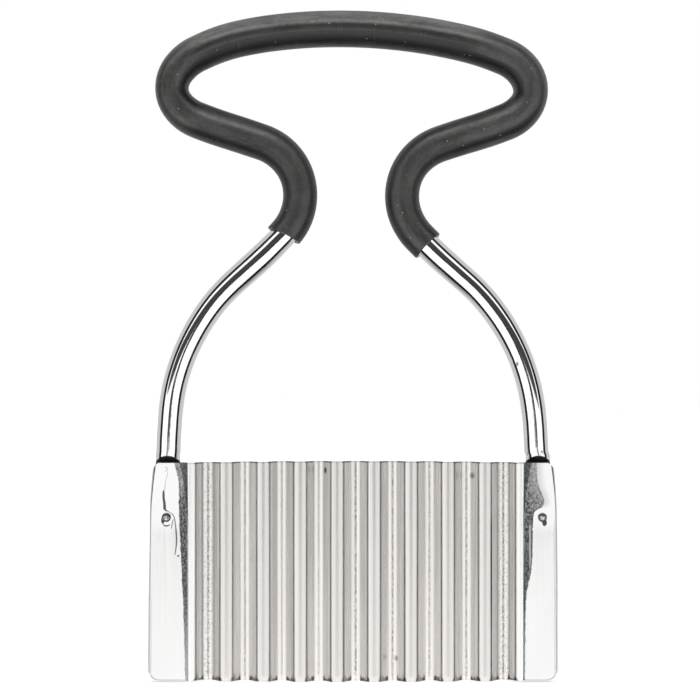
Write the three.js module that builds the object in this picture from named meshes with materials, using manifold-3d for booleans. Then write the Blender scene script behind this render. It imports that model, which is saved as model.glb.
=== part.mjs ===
// Crinkle cutter: a corrugated blade whose folded ends hold a bent tube handle in a soft sleeve.
// Lengths are millimetres, angles are radians. X runs along the blade, Z runs up from the cutting
// edge, the front of the cutter faces -Y and the tube's centreline lies in the plane Y = 0.

import * as THREE from 'three';
import { mergeVertices } from 'three/addons/utils/BufferGeometryUtils.js';
import Module from 'manifold-3d';

const wasm = await Module();
wasm.setup();

const degree = Math.PI / 180;
const quarterTurn = Math.PI / 2;

// Gap left where two pieces seat on each other.
const seatGap = 0.25;
// How far a cutting tool runs past what it cuts.
const overrun = 1;

// Blade: the corrugated field between the folded ends.
const troughCount = 9;
const pitch = 9.61;
const crestRadius = 2.5;
const troughRadius = 2.4;
const slopeAngle = 62 * degree;
const bladeHeight = 57.3;
const sheet = 0.5;
const edgeHeight = 1.2;
const edgeThickness = 0.12;

// Folded ends of the blade. The corrugated field sits a little right of the middle between them,
// and its end crests lie beside the pressed tube's near edge.
const fieldShift = 0.5;
const creaseRoom = 0.455;
const panelStep = 0.3;
const foldCornerRadius = 0.85;
const foldCornerGrowthShare = 0.55;
const flapTuck = 0.35;
const lowerCornerRadius = 2.8;
const upperCornerWidth = 2.2;
const upperCornerDrop = 3.1;

// Handle tube.
const tubeRadius = 3.175;
const tubeWall = 0.8;
const tubeEndLift = 3;

// Press marks on the tube's ends: the step above the blade, then the run down to the flat.
const flatHalf = 1.1;
const stepHalf = 2.5;
const stepRise = 1.3;
const stepDrop = 0.5;
const pressRun = 17.5;

// Handle route, from a leg up over the loop. The whole handle leans a touch to the left, and its
// left turn is bent a little wider than its right one.
const handleLean = 0.34 * degree;
const legStraight = 5;
const legRadius = 57.8;
const legAngle = 46.6 * degree;
const shoulderStraight = 16.8;
const neckRadius = 14.5;
const neckAngle = 118.5 * degree;
const barStraight = 17.85;
const leftTurnRadius = 9.5;
const rightTurnRadius = 9.1;
const topAngle = 18.4 * degree;

// Sleeve on the loop. It reaches past the neck bends, sits a little to the right, and its left end
// is cut askew.
const sleeveGap = 0.3;
const sleeveWall = 1.3;
const sleeveReach = 1.6;
const sleeveShift = 1.6;
const leftCutSkew = 17 * degree;

// Rivets through the folded ends.
const rivetHeight = 42.8;
const rivetOffset = 0.6;
const rivetShankRadius = 0.7;
const rivetHeadRadius = 1.2;
const rivetHeadHeight = 0.5;
const rivetClearance = 0.2;

// Facet counts.
const waveSteps = 3;
const foldSteps = 4;
const pressSteps = 4;
const legSteps = 5;
const neckSteps = 9;
const turnSteps = 11;
const topSteps = 4;
const tubeSides = 16;
const cornerSteps = 8;
const headSteps = 4;
const roundSides = 16;

// Sizes worked out from the ones above.
const halfCorrugation = (troughCount * pitch) / 2;
const bothRadii = crestRadius + troughRadius;
const slopeRun = pitch / 2 - bothRadii * Math.sin(slopeAngle);
const depth = bothRadii * (1 - Math.cos(slopeAngle)) + slopeRun * Math.tan(slopeAngle);
const sheetOffset = seatGap + sheet / 2;
const legX = halfCorrugation + creaseRoom + pressedHalfWidth(flatHalf);
const bladeY = depth / 2 + panelStep - flatHalf - sheetOffset;
const stepTop = bladeHeight + stepRise;
const pressTop = bladeHeight - stepDrop;
const sleeveInnerRadius = tubeRadius + sleeveGap;
const sleeveOuterRadius = sleeveInnerRadius + sleeveWall;
const rivetX = legX + rivetOffset;
const cutReach = 2 * (tubeRadius + seatGap + sheet + overrun);

// A pressed tube keeps its girth: half its width for half its thickness.
function pressedHalfWidth(half) {
  return half + quarterTurn * (tubeRadius - half);
}

// Half the tube's thickness at a height: round, then the sharp step, then an easing run to flat.
function pressedHalf(z) {
  if (z >= stepTop) {
    return tubeRadius;
  }
  if (z >= pressTop) {
    return THREE.MathUtils.mapLinear(z, pressTop, stepTop, stepHalf, tubeRadius);
  }
  const runShare = Math.max(0, 1 - (pressTop - z) / pressRun);
  return flatHalf + (stepHalf - flatHalf) * runShare * runShare;
}

// Outline of a pressed tube at the given half thickness, seen along the tube.
function pressedOutline(half, inset) {
  const shift = pressedHalfWidth(half) - half;
  const radius = half - inset;
  const points = [];
  for (let i = 0; i < tubeSides; i++) {
    const angle = ((i + 0.5) / tubeSides) * 4 * quarterTurn;
    const side = Math.sign(Math.cos(angle));
    points.push(new THREE.Vector2(side * shift + radius * Math.cos(angle), radius * Math.sin(angle)));
  }
  return points;
}

// Collects corner points and triangles, then gives one closed geometry.
class Surface {
  constructor() {
    this.positions = [];
    this.indices = [];
  }

  addRow(points) {
    const first = this.positions.length / 3;
    for (const point of points) {
      this.positions.push(point.x, point.y, point.z);
    }
    return first;
  }

  // Joins two rows of equal length. A closed row also joins its last point to its first.
  joinRows(lower, upper, count, closed) {
    const last = closed ? count : count - 1;
    for (let i = 0; i < last; i++) {
      const next = (i + 1) % count;
      this.indices.push(lower + i, lower + next, upper + next);
      this.indices.push(lower + i, upper + next, upper + i);
    }
  }

  geometry() {
    const geometry = new THREE.BufferGeometry();
    geometry.setAttribute('position', new THREE.Float32BufferAttribute(this.positions, 3));
    geometry.setIndex(this.indices);
    return geometry;
  }
}

// A pipe wall: rings outside, rings inside, and a flat ring at each end.
function pipeGeometry(outerRings, innerRings) {
  const surface = new Surface();
  const sides = outerRings[0].length;
  const outer = outerRings.map((ring) => surface.addRow(ring));
  const inner = innerRings.map((ring) => surface.addRow(ring));
  for (let i = 1; i < outer.length; i++) {
    surface.joinRows(outer[i - 1], outer[i], sides, true);
    surface.joinRows(inner[i], inner[i - 1], sides, true);
  }
  surface.joinRows(inner[0], outer[0], sides, true);
  surface.joinRows(outer.at(-1), inner.at(-1), sides, true);
  return surface.geometry();
}

function toSolid(source) {
  const bare = source.clone();
  bare.deleteAttribute('normal');
  bare.deleteAttribute('uv');
  const merged = mergeVertices(bare);
  return new wasm.Manifold(new wasm.Mesh({
    numProp: 3,
    vertProperties: new Float32Array(merged.attributes.position.array),
    triVerts: new Uint32Array(merged.index.array),
  }));
}

function toGeometry(solid) {
  const mesh = solid.getMesh();
  const geometry = new THREE.BufferGeometry();
  geometry.setAttribute('position', new THREE.BufferAttribute(mesh.vertProperties, 3));
  geometry.setIndex(new THREE.BufferAttribute(mesh.triVerts, 1));
  return geometry;
}

// One side of the handle's centreline as straights and bends in the XZ plane, from the top of the
// leg's pressed step to the end of the tight turn. Both sides are worked out as a right side.
function sideRoute(side) {
  const route = [];
  let heading = quarterTurn + side * handleLean;
  let here = new THREE.Vector2(legX, stepTop);
  let travelled = 0;

  const add = (point, length) => {
    travelled += length;
    route.push({ x: point.x, z: point.y, heading, travelled });
  };
  const straight = (length) => {
    const along = new THREE.Vector2(Math.cos(heading), Math.sin(heading));
    here = here.clone().addScaledVector(along, length);
    add(here, length);
  };
  const bend = (radius, angle, steps) => {
    const turn = Math.sign(angle);
    const centre = new THREE.Vector2(-Math.sin(heading), Math.cos(heading))
      .multiplyScalar(turn * radius)
      .add(here);
    for (let i = 0; i < steps; i++) {
      heading += angle / steps;
      here = new THREE.Vector2(Math.sin(heading), -Math.cos(heading))
        .multiplyScalar(turn * radius)
        .add(centre);
      add(here, (radius * Math.abs(angle)) / steps);
    }
  };

  add(here, 0);
  straight(legStraight - stepRise);
  bend(legRadius, legAngle, legSteps);
  straight(shoulderStraight);
  bend(neckRadius, -neckAngle, neckSteps);
  straight(barStraight);
  const turnRadius = side > 0 ? rightTurnRadius : leftTurnRadius;
  bend(turnRadius, quarterTurn - legAngle + neckAngle - topAngle, turnSteps);
  return route;
}

// How far right of the middle the two arcs of the top bar meet level, at the height of both.
function apexPlace(left, right) {
  const leftRise = Math.tan((Math.PI - left.heading) / 2);
  const rightRise = Math.tan((Math.PI - right.heading) / 2);
  return (right.z - left.z + right.x * rightRise - left.x * leftRise) / (leftRise + rightRise);
}

// Carries a side on from the end of its turn to the apex, along one arc.
function addTopArc(route, apexX) {
  const start = route.at(-1);
  const fall = Math.PI - start.heading;
  const radius = (start.x - apexX) / Math.sin(fall);
  for (let i = 1; i <= topSteps; i++) {
    const left = fall * (1 - i / topSteps);
    route.push({
      x: apexX + radius * Math.sin(left),
      z: start.z + radius * (Math.cos(left) - Math.cos(fall)),
      heading: Math.PI - left,
      travelled: start.travelled + (radius * fall * i) / topSteps,
    });
  }
}

// The whole centreline from the left leg to the right leg, with the length from the apex.
function wholeRoute() {
  const left = sideRoute(-1);
  const right = sideRoute(1);
  const apexX = apexPlace(left.at(-1), right.at(-1));
  addTopArc(left, -apexX);
  addTopArc(right, apexX);
  const fromLeft = left.slice(0, -1).map((stop) => ({
    x: -stop.x,
    z: stop.z,
    heading: Math.PI - stop.heading,
    along: stop.travelled - left.at(-1).travelled,
  }));
  const toRight = right.reverse().map((stop) => ({
    x: stop.x,
    z: stop.z,
    heading: stop.heading - Math.PI,
    along: right[0].travelled - stop.travelled,
  }));
  return fromLeft.concat(toRight);
}

// The stop at a given length from the apex, between its two neighbours on the route.
function stopAt(route, along) {
  const next = route.findIndex((stop) => stop.along > along);
  const a = route[next - 1];
  const b = route[next];
  const share = (along - a.along) / (b.along - a.along);
  return {
    x: THREE.MathUtils.lerp(a.x, b.x, share),
    z: THREE.MathUtils.lerp(a.z, b.z, share),
    heading: THREE.MathUtils.lerp(a.heading, b.heading, share),
    along,
  };
}

// A round ring on the route, with the corners in the same places as a pressed ring's. It is square
// to the route unless a skew turns it about the Y axis.
function routeRing(stop, radius, skew = 0) {
  const onward = new THREE.Vector3(Math.cos(stop.heading), 0, Math.sin(stop.heading));
  const sideways = new THREE.Vector3(Math.sin(stop.heading), 0, -Math.cos(stop.heading));
  return pressedOutline(tubeRadius, tubeRadius - radius).map((point) => (
    new THREE.Vector3(stop.x, point.y, stop.z)
      .addScaledVector(sideways, point.x)
      .addScaledVector(onward, point.x * Math.tan(skew))
  ));
}

// Heights where the pressed end changes shape, from its lower end up.
function pressHeights() {
  const flatTop = pressTop - pressRun;
  const heights = [tubeEndLift, flatTop];
  for (let i = 1; i <= pressSteps; i++) {
    heights.push(flatTop + (pressRun * i) / pressSteps);
  }
  return heights;
}

// Rings of a pressed leg from its lower end up, ordered to follow the route's rings.
function legRings(side, inset) {
  return pressHeights().map((z) => (
    pressedOutline(pressedHalf(z), inset).map((point) => (
      new THREE.Vector3(side * (legX - point.x), point.y, z)
    ))
  ));
}

function tubeRings(inset) {
  const route = wholeRoute().map((stop) => routeRing(stop, tubeRadius - inset));
  return [...legRings(-1, inset), ...route, ...legRings(1, inset).reverse()];
}

function rivetHole(side) {
  const radius = rivetShankRadius + rivetClearance;
  const hole = new THREE.CylinderGeometry(radius, radius, cutReach, roundSides);
  hole.translate(side * rivetX, 0, rivetHeight);
  return toSolid(hole);
}

function handleTubeGeometry() {
  const pipe = toSolid(pipeGeometry(tubeRings(0), tubeRings(tubeWall)));
  return toGeometry(pipe.subtract(rivetHole(1)).subtract(rivetHole(-1)));
}

function gripSleeveGeometry() {
  const route = wholeRoute();
  const leg = legStraight - stepRise + legRadius * legAngle + shoulderStraight;
  const from = stopAt(route, route[0].along + leg - sleeveReach + sleeveShift);
  const to = stopAt(route, route.at(-1).along - leg + sleeveReach + sleeveShift);
  const between = route.filter((stop) => (
    stop.along > from.along + sleeveWall && stop.along < to.along - sleeveWall
  ));
  const rings = (radius) => [
    routeRing(from, radius, leftCutSkew),
    ...between.map((stop) => routeRing(stop, radius)),
    routeRing(to, radius),
  ];
  return pipeGeometry(rings(sleeveOuterRadius), rings(sleeveInnerRadius));
}

// Middle line of the corrugated field in the XY plane, from the left end crest to the right one.
function corrugationLine() {
  const points = [];
  const addCrest = (x, fromStep, toStep) => {
    for (let i = fromStep; i <= toStep; i++) {
      const angle = (i / waveSteps) * slopeAngle;
      points.push(new THREE.Vector2(
        fieldShift + x + crestRadius * Math.sin(angle),
        bladeY - depth / 2 + crestRadius * (1 - Math.cos(angle)),
      ));
    }
  };
  const addTrough = (x) => {
    for (let i = -waveSteps; i <= waveSteps; i++) {
      const angle = (i / waveSteps) * slopeAngle;
      points.push(new THREE.Vector2(
        fieldShift + x + troughRadius * Math.sin(angle),
        bladeY + depth / 2 - troughRadius * (1 - Math.cos(angle)),
      ));
    }
  };
  addCrest(-halfCorrugation, 0, waveSteps);
  for (let i = 0; i < troughCount; i++) {
    const troughX = (i + 0.5) * pitch - halfCorrugation;
    const isLast = i === troughCount - 1;
    addTrough(troughX);
    addCrest(troughX + pitch / 2, -waveSteps, isLast ? 0 : waveSteps);
  }
  return points;
}

// Angle on a circle where a line from the outside point touches it, on the given side.
function tangentAngle(point, centre, radius, side) {
  const away = point.clone().sub(centre);
  return Math.atan2(away.y, away.x) + side * Math.acos(radius / away.length());
}

// Middle line of a folded end at a height: from the crease over the tube's front, round its outer
// side with two tight corners, and back behind it to the flap's free edge. Both ends are worked out
// as a right one.
function foldLine(z, side) {
  const half = pressedHalf(z);
  const radius = half + sheetOffset;
  const shift = pressedHalfWidth(half) - half;
  const corner = Math.min(radius, foldCornerRadius + foldCornerGrowthShare * (half - flatHalf));
  const inner = new THREE.Vector2(legX - shift, 0);
  const frontCorner = new THREE.Vector2(legX + shift + radius - corner, corner - radius);
  const backCorner = new THREE.Vector2(frontCorner.x, -frontCorner.y);
  const crease = new THREE.Vector2(halfCorrugation + side * fieldShift, bladeY - depth / 2);
  const flapEdge = new THREE.Vector2(halfCorrugation, flatHalf + sheetOffset - flapTuck);
  const points = [];
  const arc = (centre, arcRadius, start, end, steps) => {
    for (let i = 0; i <= steps; i++) {
      const angle = start + ((end - start) * i) / steps;
      points.push(
        new THREE.Vector2(Math.cos(angle), Math.sin(angle)).multiplyScalar(arcRadius).add(centre),
      );
    }
  };
  arc(inner, radius, tangentAngle(crease, inner, radius, 1), -quarterTurn, waveSteps);
  arc(frontCorner, corner, -quarterTurn, 0, foldSteps);
  arc(backCorner, corner, 0, quarterTurn, foldSteps);
  arc(inner, radius, quarterTurn, tangentAngle(flapEdge, inner, radius, -1), waveSteps);
  points.push(flapEdge);
  return points;
}

// The whole middle line at a height, from the left flap's edge to the right flap's edge.
function bladeLine(z) {
  const left = foldLine(z, -1).map((point) => new THREE.Vector2(-point.x, point.y)).reverse();
  return [...left, ...corrugationLine(), ...foldLine(z, 1)];
}

// Moves a line sideways by a distance, with mitred corners.
function offsetLine(line, distance) {
  return line.map((point, i) => {
    const before = i > 0 ? point.clone().sub(line[i - 1]).normalize() : null;
    const after = i < line.length - 1 ? line[i + 1].clone().sub(point).normalize() : null;
    const first = before ?? after;
    const second = after ?? before;
    const mean = first.clone().add(second).normalize();
    const stretch = 1 / mean.dot(first);
    return new THREE.Vector2(mean.y, -mean.x).multiplyScalar(distance * stretch).add(point);
  });
}

// Sheet thickness at a height: ground thinner toward the cutting edge.
function sheetAt(z) {
  return THREE.MathUtils.mapLinear(Math.min(z, edgeHeight), 0, edgeHeight, edgeThickness, sheet);
}

function bladeHeights() {
  const press = pressHeights().filter((z) => z > tubeEndLift);
  return [0, edgeHeight, ...press, bladeHeight];
}

function sheetGeometry() {
  const surface = new Surface();
  const rows = bladeHeights().map((z) => {
    const line = bladeLine(z);
    const lift = (point) => new THREE.Vector3(point.x, point.y, z);
    return {
      front: surface.addRow(offsetLine(line, sheetAt(z) / 2).map(lift)),
      back: surface.addRow(offsetLine(line, -sheetAt(z) / 2).map(lift)),
      count: line.length,
    };
  });
  for (let i = 1; i < rows.length; i++) {
    const lower = rows[i - 1];
    const upper = rows[i];
    const last = lower.count - 1;
    surface.joinRows(lower.front, upper.front, lower.count, false);
    surface.joinRows(upper.back, lower.back, lower.count, false);
    surface.indices.push(lower.back, lower.front, upper.front);
    surface.indices.push(lower.back, upper.front, upper.back);
    surface.indices.push(lower.front + last, lower.back + last, upper.back + last);
    surface.indices.push(lower.front + last, upper.back + last, upper.front + last);
  }
  surface.joinRows(rows[0].back, rows[0].front, rows[0].count, false);
  surface.joinRows(rows.at(-1).front, rows.at(-1).back, rows.at(-1).count, false);
  return surface.geometry();
}

function foldOuterX(z) {
  return legX + pressedHalfWidth(pressedHalf(z)) + seatGap + sheet;
}

// A cutter that rounds one outer corner of a folded end, given the corner's round as an ellipse.
function cornerCutter(side, centreX, centreZ, radiusX, radiusZ, isTop) {
  const towards = isTop ? 1 : -1;
  const shape = new THREE.Shape();
  const farX = centreX + radiusX + overrun;
  const farZ = centreZ + towards * (radiusZ + overrun);
  shape.moveTo(farX, centreZ);
  shape.lineTo(farX, farZ);
  shape.lineTo(centreX, farZ);
  for (let i = 0; i <= cornerSteps; i++) {
    const angle = quarterTurn * (1 - i / cornerSteps);
    shape.lineTo(centreX + radiusX * Math.cos(angle), centreZ + towards * radiusZ * Math.sin(angle));
  }
  const geometry = new THREE.ExtrudeGeometry(shape, { depth: cutReach, bevelEnabled: false });
  geometry.rotateX(quarterTurn);
  geometry.translate(0, cutReach / 2, 0);
  const solid = toSolid(geometry);
  return side > 0 ? solid : solid.mirror([1, 0, 0]);
}

function bladeGeometry() {
  let solid = toSolid(sheetGeometry());
  const upperZ = bladeHeight - upperCornerDrop;
  for (const side of [-1, 1]) {
    const lower = cornerCutter(
      side,
      foldOuterX(0) - lowerCornerRadius,
      lowerCornerRadius,
      lowerCornerRadius,
      lowerCornerRadius,
      false,
    );
    const upper = cornerCutter(
      side,
      foldOuterX(upperZ) - upperCornerWidth,
      upperZ,
      upperCornerWidth,
      upperCornerDrop,
      true,
    );
    solid = solid.subtract(lower).subtract(upper).subtract(rivetHole(side));
  }
  return toGeometry(solid);
}

// A rivet along Y with a low round head in front and behind, seated on the folded end's two faces.
function rivetGeometry() {
  const seat = pressedHalf(rivetHeight) + seatGap + sheet + seatGap;
  const tip = seat + rivetHeadHeight;
  const profile = [new THREE.Vector2(0, -tip)];
  for (let i = 1; i <= headSteps; i++) {
    const angle = (quarterTurn * i) / headSteps;
    profile.push(new THREE.Vector2(
      rivetHeadRadius * Math.sin(angle),
      -seat - rivetHeadHeight * Math.cos(angle),
    ));
  }
  profile.push(new THREE.Vector2(rivetShankRadius, -seat));
  const mirrored = profile.map((point) => new THREE.Vector2(point.x, -point.y)).reverse();
  return new THREE.LatheGeometry([...profile, ...mirrored], roundSides);
}

const chrome = new THREE.MeshStandardMaterial({ color: 0xdcddde, roughness: 0.08, metalness: 1 });
const rubber = new THREE.MeshStandardMaterial({ color: 0x39393a, roughness: 0.7, metalness: 0 });
const satinSteel = new THREE.MeshStandardMaterial({ color: 0xc9c6c1, roughness: 0.32, metalness: 1 });
const rivetSteel = new THREE.MeshStandardMaterial({ color: 0xb9b9b8, roughness: 0.25, metalness: 1 });

function namedMesh(name, geometry, material) {
  const mesh = new THREE.Mesh(geometry, material);
  mesh.name = name;
  return mesh;
}

const crinkleCutter = new THREE.Group();
crinkleCutter.add(namedMesh('handle_tube', handleTubeGeometry(), chrome));
crinkleCutter.add(namedMesh('grip_sleeve', gripSleeveGeometry(), rubber));
crinkleCutter.add(namedMesh('blade', bladeGeometry(), satinSteel));
for (const [name, side] of [['left_rivet', -1], ['right_rivet', 1]]) {
  const rivet = namedMesh(name, rivetGeometry(), rivetSteel.clone());
  rivet.position.set(side * rivetX, 0, rivetHeight);
  crinkleCutter.add(rivet);
}

export default crinkleCutter;
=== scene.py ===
# Crinkle cutter: corrugated steel blade, bent tube handle, rubber sleeve, two rivets.
# All values in the dictionaries are millimetres and degrees. The front faces -Y, Z is up.

import math

import bpy
import numpy as np
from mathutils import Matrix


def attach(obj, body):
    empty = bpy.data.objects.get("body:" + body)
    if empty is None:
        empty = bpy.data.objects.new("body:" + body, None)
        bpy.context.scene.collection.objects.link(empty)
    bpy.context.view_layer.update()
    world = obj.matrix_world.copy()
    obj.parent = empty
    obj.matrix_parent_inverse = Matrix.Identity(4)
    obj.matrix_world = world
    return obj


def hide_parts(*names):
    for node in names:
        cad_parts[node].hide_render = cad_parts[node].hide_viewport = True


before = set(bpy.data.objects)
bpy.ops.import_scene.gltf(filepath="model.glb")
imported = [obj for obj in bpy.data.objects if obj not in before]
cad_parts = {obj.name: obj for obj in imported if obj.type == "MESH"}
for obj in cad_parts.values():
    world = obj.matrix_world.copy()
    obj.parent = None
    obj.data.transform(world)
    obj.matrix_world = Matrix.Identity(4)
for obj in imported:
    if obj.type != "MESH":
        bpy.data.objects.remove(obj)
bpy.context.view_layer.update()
mm = 0.001
print("frame loaded:", sorted(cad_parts))

# sizes shared by the pieces
cutterValues = {
    "pitch": 9.61,
    "troughs": 9,
    "crestRadius": 2.5,
    "troughRadius": 2.4,
    "slopeAngle": 62.0,
    "fieldShift": 0.72,  # the rolled field sits a little to the right
    "legOffset": 4.81,  # from the last crest of a centred field to a leg's middle
    "bladeHeight": 57.3,
    "bow": 0.35,  # both long edges bulge by this much in the middle
    "sheet": 0.5,
    "seatGap": 0.25,
    "panelStep": 0.3,
    "tubeRadius": 3.175,
    "flatHalf": 1.1,  # half the tube's thickness where it is pressed flat
    "stepHalf": 2.5,
    "stepRise": 1.3,
    "stepDrop": 0.5,
    "pressRun": 17.5,
}

# the legs are pressed a little narrower towards the top: (height, how much narrower)
legTaper = {
    -1: [(0, 0.0), (8, 0.0), (21, 0.1), (37, 0.4), (47, 0.38), (52.5, 0.5), (57.3, 0.6)],
    1: [(0, 0.0), (30, 0.0), (39, 0.1), (47, 0.14), (52.5, 0.2), (57.3, 0.3)],
}


def girthHalf(half):
    # a pressed tube keeps its girth, so it grows wider as it gets thinner
    return half + math.pi / 2 * (cutterValues["tubeRadius"] - half)


halfField = cutterValues["pitch"] * cutterValues["troughs"] / 2
sheetOffset = cutterValues["seatGap"] + cutterValues["sheet"] / 2
slope = math.radians(cutterValues["slopeAngle"])
bothRadii = cutterValues["crestRadius"] + cutterValues["troughRadius"]
fieldDepth = (
    bothRadii * (1 - math.cos(slope))
    + (cutterValues["pitch"] / 2 - bothRadii * math.sin(slope)) * math.tan(slope)
)
legX = halfField + cutterValues["legOffset"]
fieldY = fieldDepth / 2 + cutterValues["panelStep"] - cutterValues["flatHalf"] - sheetOffset
stepTop = cutterValues["bladeHeight"] + cutterValues["stepRise"]
pressTop = cutterValues["bladeHeight"] - cutterValues["stepDrop"]


def pressedHalf(z):
    # half the pressed tube's thickness behind the sheet
    share = min(1.0, max(0.0, 1 - (pressTop - z) / cutterValues["pressRun"]))
    flat = cutterValues["flatHalf"]
    return flat + (cutterValues["stepHalf"] - flat) * share * share


def readTable(table, place):
    return np.interp(place, *np.array(table).T)


def taperAt(z, side):
    return float(readTable(legTaper[side], z))


# mesh helpers
def meshObject(name, points, faces, smoothAngle):
    mesh = bpy.data.meshes.new(name)
    mesh.from_pydata([tuple(p) for p in points], [], faces)
    mesh.update()
    mesh.shade_smooth()
    mesh.set_sharp_from_angle(angle=math.radians(smoothAngle))
    piece = bpy.data.objects.new(name, mesh)
    bpy.context.scene.collection.objects.link(piece)
    return piece


def pipeFaces(ringCount, sides):
    # outer rings first, then as many inner rings, closed at both ends
    faces = []
    inner = ringCount * sides
    for i in range(ringCount - 1):
        for j in range(sides):
            k = (j + 1) % sides
            a, b = i * sides, (i + 1) * sides
            faces.append((a + j, a + k, b + k, b + j))
            faces.append((inner + a + j, inner + b + j, inner + b + k, inner + a + k))
    last = (ringCount - 1) * sides
    for j in range(sides):
        k = (j + 1) % sides
        faces.append((j, inner + j, inner + k, k))
        faces.append((last + j, last + k, inner + last + k, inner + last + j))
    return faces


def pipeObject(name, rings, skins, v):
    # a hollow pipe from its outer and inner rings; the skin is the position along and round it
    # in millimetres, for patterns that follow the bends
    points = np.array(rings).reshape(-1, 3) * mm
    piece = meshObject(name, points, pipeFaces(len(rings) // 2, v["sides"]), v["smoothAngle"])
    layer = piece.data.attributes.new("skin", "FLOAT_VECTOR", "POINT")
    layer.data.foreach_set("vector", np.array(skins, np.float32).ravel())
    return piece


# route of the bent tube
routeValues = {
    "lean": 0.34,  # the whole handle leans a touch to the left
    "legStraight": 5.0,
    "legRadius": 57.8,
    "legAngle": 46.6,
    "shoulderStraight": 16.8,
    "neckRadius": 14.5,
    "neckAngle": 118.5,
    "barStraight": 17.85,
    "leftTurnRadius": 9.5,
    "rightTurnRadius": 9.1,
    "topAngle": 18.4,
    "stepLength": 1.1,  # spacing of the rings
    "smoothing": 2,  # rings on each side that even out the drift
}

# the real bends drift from plain arcs: (length from the top, drift towards the inside of the loop)
routeDrift = [
    (-178, 0.02), (-176.5, 0.08), (-174, 0.16), (-171.3, 0.31), (-168.7, 0.35), (-166, 0.29),
    (-163.4, 0.16), (-160.8, 0.05), (-158, -0.07), (-152.7, -0.15), (-147, -0.21), (-141, -0.25),
    (-135, -0.27), (-131.5, -0.19), (-128, -0.06), (-124.3, 0.05), (-120.5, 0.17), (-116.5, 0.30),
    (-112, 0.2), (-104, 0.0), (-98, -0.07), (-92, -0.05), (-86, -0.07), (-80, -0.06), (-74, 0.05),
    (-68, 0.03), (-65, 0.09), (-62, 0.27), (-59, 0.5), (-56, 0.39), (-53, 0.18), (-50, 0.16),
    (-47, 0.48), (-44, 0.86), (-41, 1.05), (-38, 0.84), (-35, 0.41), (-32, 0.11), (-29, -0.08),
    (-26, -0.12), (-20, -0.04), (-14, 0.08), (-8, 0.16), (-2, 0.2), (4, 0.18), (10, 0.14), (16, 0.12),
    (22, 0.08), (28, 0.06), (34, 0.04), (37, 0.07), (40, 0.19), (43, 0.42), (46, 0.68), (49, 0.56),
    (52, 0.2), (55, -0.25), (58, -0.5), (61, -0.32), (64, -0.1), (67, -0.14), (70, -0.35), (73, -0.39),
    (76, -0.33), (79, -0.24), (82, -0.19), (85, -0.21), (88, -0.19), (91, -0.14), (94, -0.06),
    (97, 0.0), (104, 0.04), (112, 0.1), (116, 0.3), (122, 0.44), (126, 0.33), (130, 0.21),
    (133.5, 0.09), (137, 0.02), (147, 0.0), (155.7, 0.06), (161, 0.17), (166.6, 0.31), (169.3, 0.41),
    (172, 0.48), (176, 0.53), (179.7, 0.48), (182.3, 0.24), (184, 0.15),
]


def sideRoute(v, side):
    # stops from a leg up to the end of the tight turn: x, z, heading, length, curvature
    # worked out as a right side, whose x counts outwards
    x, z, travelled = legX, stepTop, 0.0
    heading = math.pi / 2 + side * math.radians(v["lean"])
    stops = [(x, z, heading, 0.0, 0.0)]

    def straight(length):
        nonlocal x, z, travelled
        count = max(1, round(length / v["stepLength"]))
        for _ in range(count):
            x += math.cos(heading) * length / count
            z += math.sin(heading) * length / count
            travelled += length / count
            stops.append((x, z, heading, travelled, 0.0))

    def bend(radius, angle):
        nonlocal heading, x, z, travelled
        sign = math.copysign(1.0, angle)
        centreX = x - math.sin(heading) * sign * radius
        centreZ = z + math.cos(heading) * sign * radius
        count = max(2, round(radius * abs(angle) / v["stepLength"]))
        for _ in range(count):
            heading += angle / count
            x = centreX + math.sin(heading) * sign * radius
            z = centreZ - math.cos(heading) * sign * radius
            travelled += radius * abs(angle) / count
            stops.append((x, z, heading, travelled, 1 / radius))

    legAngle = math.radians(v["legAngle"])
    neckAngle = math.radians(v["neckAngle"])
    straight(v["legStraight"] - cutterValues["stepRise"])
    bend(v["legRadius"], legAngle)
    straight(v["shoulderStraight"])
    bend(v["neckRadius"], -neckAngle)
    straight(v["barStraight"])
    turnRadius = v["rightTurnRadius"] if side > 0 else v["leftTurnRadius"]
    bend(turnRadius, math.pi / 2 - legAngle + neckAngle - math.radians(v["topAngle"]))
    return np.array(stops)


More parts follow.
